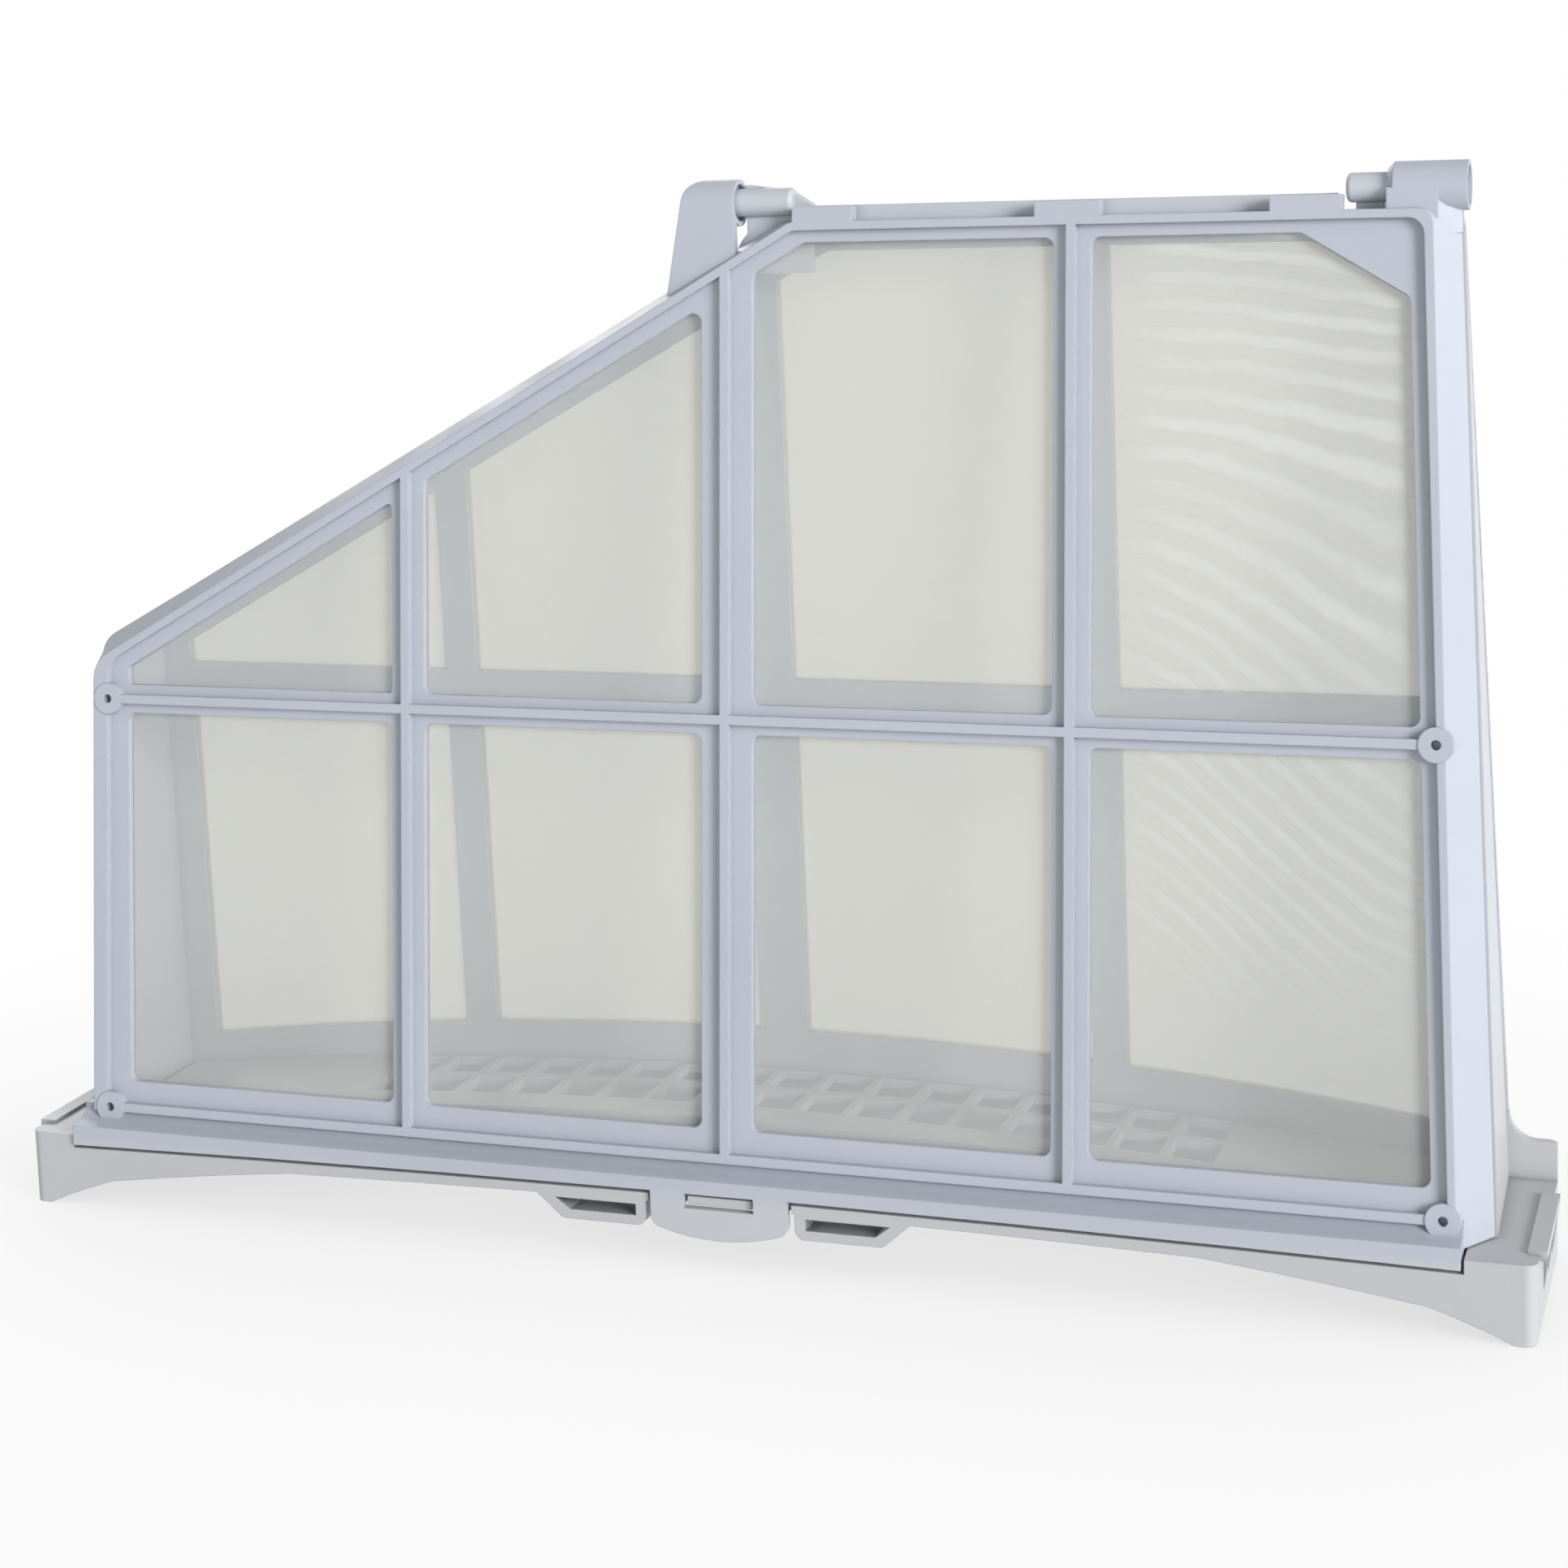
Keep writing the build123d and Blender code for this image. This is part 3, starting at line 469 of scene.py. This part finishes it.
def painted_sheen_streaks(tree, streak_sheen):
    """Painted sheen streaks: level near the top, sloping down to the right below, and wavering."""
    place = position(tree)
    axes = parts(tree, place)
    slope = ramp(tree, axes["Z"], SLOPE_HEIGHTS, SLOPE_SHARES)
    shift = math_node(tree, "MULTIPLY", slope, ramp(tree, axes["X"], SLOPE_SIDES, (0.0, SLOPE_FALL)))
    slow = math_node(tree, "MULTIPLY", noise(tree, place, SLOW_SCALE), SLOW_WAVER)
    quick = math_node(tree, "MULTIPLY", noise(tree, place, QUICK_SCALE, QUICK_DETAIL), QUICK_WAVER)
    waver = math_node(tree, "ADD", slow, quick)
    level = math_node(tree, "ADD", math_node(tree, "ADD", axes["Z"], shift), waver)
    wave = math_node(tree, "SINE", math_node(tree, "MULTIPLY", level, math.tau / STREAK_PITCH))
    streak = ramp(tree, wave, STREAK_WAVE)
    # Long patches where they are stronger
    long = tree.nodes.new("ShaderNodeVectorMath")
    long.operation = "MULTIPLY"
    long.inputs[1].default_value = PATCH_SCALES
    tree.links.new(place, long.inputs[0])
    patch = ramp(tree, noise(tree, long.outputs[0], 1.0), PATCH_EDGES, PATCH_SHARES)
    # Only in the right column, fading downwards, and not just above the cross rib
    side = ramp(tree, axes["X"], STREAK_SIDES)
    rise = ramp(tree, axes["Z"], STREAK_RISE)
    below = ramp(tree, axes["Z"], CROSS_RIB, (1.0, 0.0))
    clear = math_node(tree, "MAXIMUM", below, ramp(tree, axes["Z"], ABOVE_STRIP))
    area = math_node(tree, "MULTIPLY", math_node(tree, "MULTIPLY", side, rise), clear)
    share = math_node(tree, "MULTIPLY", area, streak_sheen)
    return math_node(tree, "MULTIPLY", math_node(tree, "MULTIPLY", streak, patch), share)


def new_material(name):
    """A material with a shader alone, and its output."""
    material = bpy.data.materials.new(name)
    material.use_nodes = True
    tree = material.node_tree
    tree.nodes.clear()
    shader = tree.nodes.new("ShaderNodeBsdfPrincipled")
    out = tree.nodes.new("ShaderNodeOutputMaterial")
    tree.links.new(shader.outputs[0], out.inputs["Surface"])
    return material, tree, shader, out


def place_group(tree, group, values):
    """A node group in a material, with its own values."""
    node = tree.nodes.new("ShaderNodeGroup")
    node.node_tree = group
    for name, value in values.items():
        node.inputs[name].default_value = value
    return node


def moulded_plastic(name, clouding, low_colour, high_colour, heights):
    """Satin moulded plastic with broken edges, a fine grain, a painted edge highlight and painted shade in
    inner corners, and one colour below another.
    """
    plastic = settings()[0]
    material, tree, shader = new_material(name)[:3]
    grain = place_group(tree, grain_and_painted_light(), {
        "Edge highlight colour": (*plastic.edge_highlight_colour, 1.0),
        "Roughness": plastic.roughness,
        "Grain per metre": 1.0 / plastic.grain_size,
        "Clouding": clouding,
        "Corner shade": plastic.corner_shade,
        "Edge round": plastic.edge_round,
    })
    rise = parts(tree, position(tree))["Z"]
    colour = mix_colour(tree, ramp(tree, rise, heights), low_colour, high_colour)
    tree.links.new(colour, grain.inputs["Colour"])
    tree.links.new(grain.outputs["Colour"], shader.inputs["Base Color"])
    tree.links.new(grain.outputs["Roughness"], shader.inputs["Roughness"])
    bump = tree.nodes.new("ShaderNodeBump")
    bump.inputs["Distance"].default_value = plastic.grain_depth
    tree.links.new(grain.outputs["Height"], bump.inputs["Height"])
    tree.links.new(grain.outputs["Normal"], bump.inputs["Normal"])
    tree.links.new(bump.outputs[0], shader.inputs["Normal"])
    shader.inputs["IOR"].default_value = PLASTIC_IOR
    return material, tree, rise, grain


def woven_cloth(name, colour, cover):
    """Fine woven thread that lets some of the light through."""
    screen = settings()[1]
    material, tree, shader = new_material(name)[:3]
    weave = place_group(tree, woven_screen(), {
        "Colour": (*colour, 1.0),
        "Threads per metre": 1.0 / screen.pitch,
        "Cover": cover,
    })
    bump = tree.nodes.new("ShaderNodeBump")
    bump.inputs["Distance"].default_value = THREAD_DEPTH
    bump.inputs["Strength"].default_value = THREAD_BUMP
    tree.links.new(weave.outputs["Height"], bump.inputs["Height"])
    tree.links.new(bump.outputs[0], shader.inputs["Normal"])
    tree.links.new(weave.outputs["Colour"], shader.inputs["Base Color"])
    tree.links.new(weave.outputs["Alpha"], shader.inputs["Alpha"])
    shader.inputs["Roughness"].default_value = THREAD_ROUGHNESS
    shader.inputs["Specular IOR Level"].default_value = 0.0
    return material, tree, shader, weave


def dress(node, material):
    """Gives a piece its material, and a UV layer if it has none."""
    piece = NODES[node]
    piece.data.materials.clear()
    piece.data.materials.append(material)
    if not piece.data.uv_layers:
        piece.data.uv_layers.new(name="UVMap")


class FrontFrameOperator(bpy.types.Operator):
    """Finish the front frame"""

    bl_idname = "lint_filter.front_frame"
    bl_label = "Finish front frame"

    def execute(self, context):
        plastic = settings()[0]
        material = moulded_plastic(
            "cool grey plastic", FRONT_CLOUDING, plastic.tab_colour, plastic.frame_colour, TAB_TO_LIP
        )[0]
        dress("front_frame", material)
        return {"FINISHED"}


class RearFrameOperator(bpy.types.Operator):
    """Finish the rear frame and its flange"""

    bl_idname = "lint_filter.rear_frame"
    bl_label = "Finish rear frame"

    def execute(self, context):
        plastic = settings()[0]
        material, tree, rise, grain = moulded_plastic(
            "pale grey plastic", REAR_CLOUDING, plastic.flange_colour, plastic.body_colour, FLANGE_TO_BODY
        )
        # Painted shade: the apron, its slots and the gap under the lip are darkened far more than the
        # corners above
        shade = ramp(tree, rise, SLOT_TO_LEDGE, (plastic.slot_shade, plastic.corner_shade))
        tree.links.new(shade, grain.inputs["Corner shade"])
        dress("rear_frame", material)
        return {"FINISHED"}


class ScreensOperator(bpy.types.Operator):
    """Finish the two woven screens"""

    bl_idname = "lint_filter.screens"
    bl_label = "Finish screens"

    def execute(self, context):
        screen = settings()[1]
        front, tree, shader, weave = woven_cloth(
            "front woven screen", screen.front_colour, screen.front_cover
        )
        # Painted sheen streaks: a paler colour and more cover on the front screen
        pale = painted_sheen_streaks(tree, screen.streak_sheen)
        colour = mix_colour(tree, pale, weave.outputs["Colour"], STREAK_COLOUR)
        tree.links.new(colour, shader.inputs["Base Color"])
        cover = math_node(tree, "MULTIPLY", pale, STREAK_COVER)
        alpha = math_node(tree, "ADD", weave.outputs["Alpha"], cover)
        tree.links.new(alpha, shader.inputs["Alpha"])
        rear = woven_cloth("rear woven screen", screen.rear_colour, screen.rear_cover)[0]
        dress("front_mesh", front)
        dress("rear_mesh", rear)
        return {"FINISHED"}


def lamp(name, place, target, power, size):
    """A broad soft lamp aimed at a point."""
    data = bpy.data.lights.new(name, "AREA")
    data.energy = power
    data.shape = "DISK"
    data.size = size
    light = bpy.data.objects.new(name, data)
    bpy.context.scene.collection.objects.link(light)
    light.location = place
    light.rotation_mode = "QUATERNION"
    light.rotation_quaternion = (Vector(target) - Vector(place)).to_track_quat("-Z", "Y")


def seen_directly(tree):
    """One where the camera, a reflection or a clear piece looks at the surface."""
    path = tree.nodes.new("ShaderNodeLightPath").outputs
    eye = math_node(tree, "MAXIMUM", path["Is Camera Ray"], path["Is Glossy Ray"])
    return math_node(tree, "MAXIMUM", eye, path["Is Transmission Ray"])


def mix_surfaces(tree, share, first, second, out):
    """Two shaders mixed by a share, into an output."""
    mix = tree.nodes.new("ShaderNodeMixShader")
    tree.links.new(share, mix.inputs["Fac"])
    tree.links.new(first.outputs[0], mix.inputs[1])
    tree.links.new(second.outputs[0], mix.inputs[2])
    tree.links.new(mix.outputs[0], out.inputs["Surface"])


def studio_world(strength):
    """Even light from all round, white where it is looked at."""
    world = bpy.data.worlds.new("studio")
    bpy.context.scene.world = world
    world.use_nodes = True
    tree = world.node_tree
    tree.nodes.clear()
    light = tree.nodes.new("ShaderNodeBackground")
    light.inputs["Color"].default_value = (*SKY_COLOUR, 1.0)
    light.inputs["Strength"].default_value = strength
    white = tree.nodes.new("ShaderNodeBackground")
    white.inputs["Color"].default_value = (*WHITE, 1.0)
    out = tree.nodes.new("ShaderNodeOutputWorld")
    mix_surfaces(tree, seen_directly(tree), light, white, out)


def pale_floor(colour):
    """Floor that takes the shadow near the filter, has a painted shadow in the white it shows, and fades to
    white away from it.
    """
    mesh = bpy.data.meshes.new("floor")
    signs = ((-1, -1), (1, -1), (1, 1), (-1, 1))
    mesh.from_pydata([(x * FLOOR_REACH, y * FLOOR_REACH, 0.0) for x, y in signs], [], [(0, 1, 2, 3)])
    floor = bpy.data.objects.new("floor", mesh)
    bpy.context.scene.collection.objects.link(floor)
    material, tree, shader, out = new_material("pale floor")
    shader.inputs["Base Color"].default_value = (*colour, 1.0)
    shader.inputs["Roughness"].default_value = FLOOR_ROUGHNESS
    shader.inputs["Specular IOR Level"].default_value = FLOOR_SHINE
    # Painted shadow: white away from the filter, greyer where the filter hides the sky
    sky = ramp(tree, open_sky(tree, SHADOW_REACH, only_local=False), SHADOW_OPEN)
    white = tree.nodes.new("ShaderNodeEmission")
    tree.links.new(mix_colour(tree, sky, SHADOW_COLOUR, WHITE), white.inputs["Color"])
    length = tree.nodes.new("ShaderNodeVectorMath")
    length.operation = "LENGTH"
    tree.links.new(position(tree), length.inputs[0])
    far = ramp(tree, length.outputs["Value"], FLOOR_FADE, FLOOR_WHITE)
    share = math_node(tree, "MULTIPLY", far, seen_directly(tree))
    mix_surfaces(tree, share, shader, white, out)
    mesh.materials.append(material)


def studio_camera():
    """Camera at the fitted place."""
    data = bpy.data.cameras.new("camera")
    data.lens = CAMERA_LENS
    data.sensor_width = CAMERA_SENSOR
    data.shift_y = CAMERA_SHIFT
    camera = bpy.data.objects.new("camera", data)
    bpy.context.scene.collection.objects.link(camera)
    turn = Matrix((CAMERA_RIGHT, -Vector(CAMERA_DOWN), -Vector(CAMERA_AHEAD))).transposed()
    camera.rotation_mode = "QUATERNION"
    camera.rotation_quaternion = turn.to_quaternion()
    camera.location = CAMERA_PLACE
    bpy.context.scene.camera = camera


class StageOperator(bpy.types.Operator):
    """Set up the floor, lamps and camera"""

    bl_idname = "lint_filter.stage"
    bl_label = "Set up stage"

    def execute(self, context):
        stage = settings()[2]
        middle = (CAD_BOX[0] + CAD_BOX[1]) / 2
        powers = (stage.key_power, stage.fill_power, stage.back_power)
        for (name, place, size), power in zip(LAMPS, powers):
            lamp(name, place, middle, power, size)
        studio_world(stage.sky)
        pale_floor(stage.floor_colour)
        studio_camera()
        context.scene.view_settings.view_transform = "Standard"
        return {"FINISHED"}


class FilterPanel(bpy.types.Panel):
    """Buttons and settings of the lint filter"""

    bl_idname = "VIEW3D_PT_lint_filter"
    bl_label = "Lint filter"
    bl_space_type = "VIEW_3D"
    bl_region_type = "UI"
    bl_category = "Lint Filter"

    def draw(self, context):
        for group in settings():
            box = self.layout.box()
            for name in group.__annotations__:
                box.prop(group, name)
        for operator in OPERATORS:
            self.layout.operator(operator.bl_idname)


OPERATORS = (FrontFrameOperator, RearFrameOperator, ScreensOperator, StageOperator)
SETTINGS = (
    ("filter_plastic", PlasticSettings),
    ("filter_screen", ScreenSettings),
    ("filter_stage", StageSettings),
)


def register():
    """Registers the settings, operators and panel."""
    for name, kind in SETTINGS:
        bpy.utils.register_class(kind)
        setattr(bpy.types.Scene, name, PointerProperty(type=kind))
    for kind in (*OPERATORS, FilterPanel):
        bpy.utils.register_class(kind)


def unregister():
    """Removes what register added."""
    for kind in (FilterPanel, *reversed(OPERATORS)):
        bpy.utils.unregister_class(kind)
    for name, kind in reversed(SETTINGS):
        delattr(bpy.types.Scene, name)
        bpy.utils.unregister_class(kind)


def main():
    """Registers the add-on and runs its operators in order."""
    register()
    bpy.ops.lint_filter.front_frame()
    bpy.ops.lint_filter.rear_frame()
    bpy.ops.lint_filter.screens()
    bpy.ops.lint_filter.stage()


if __name__ == "__main__":
    main()
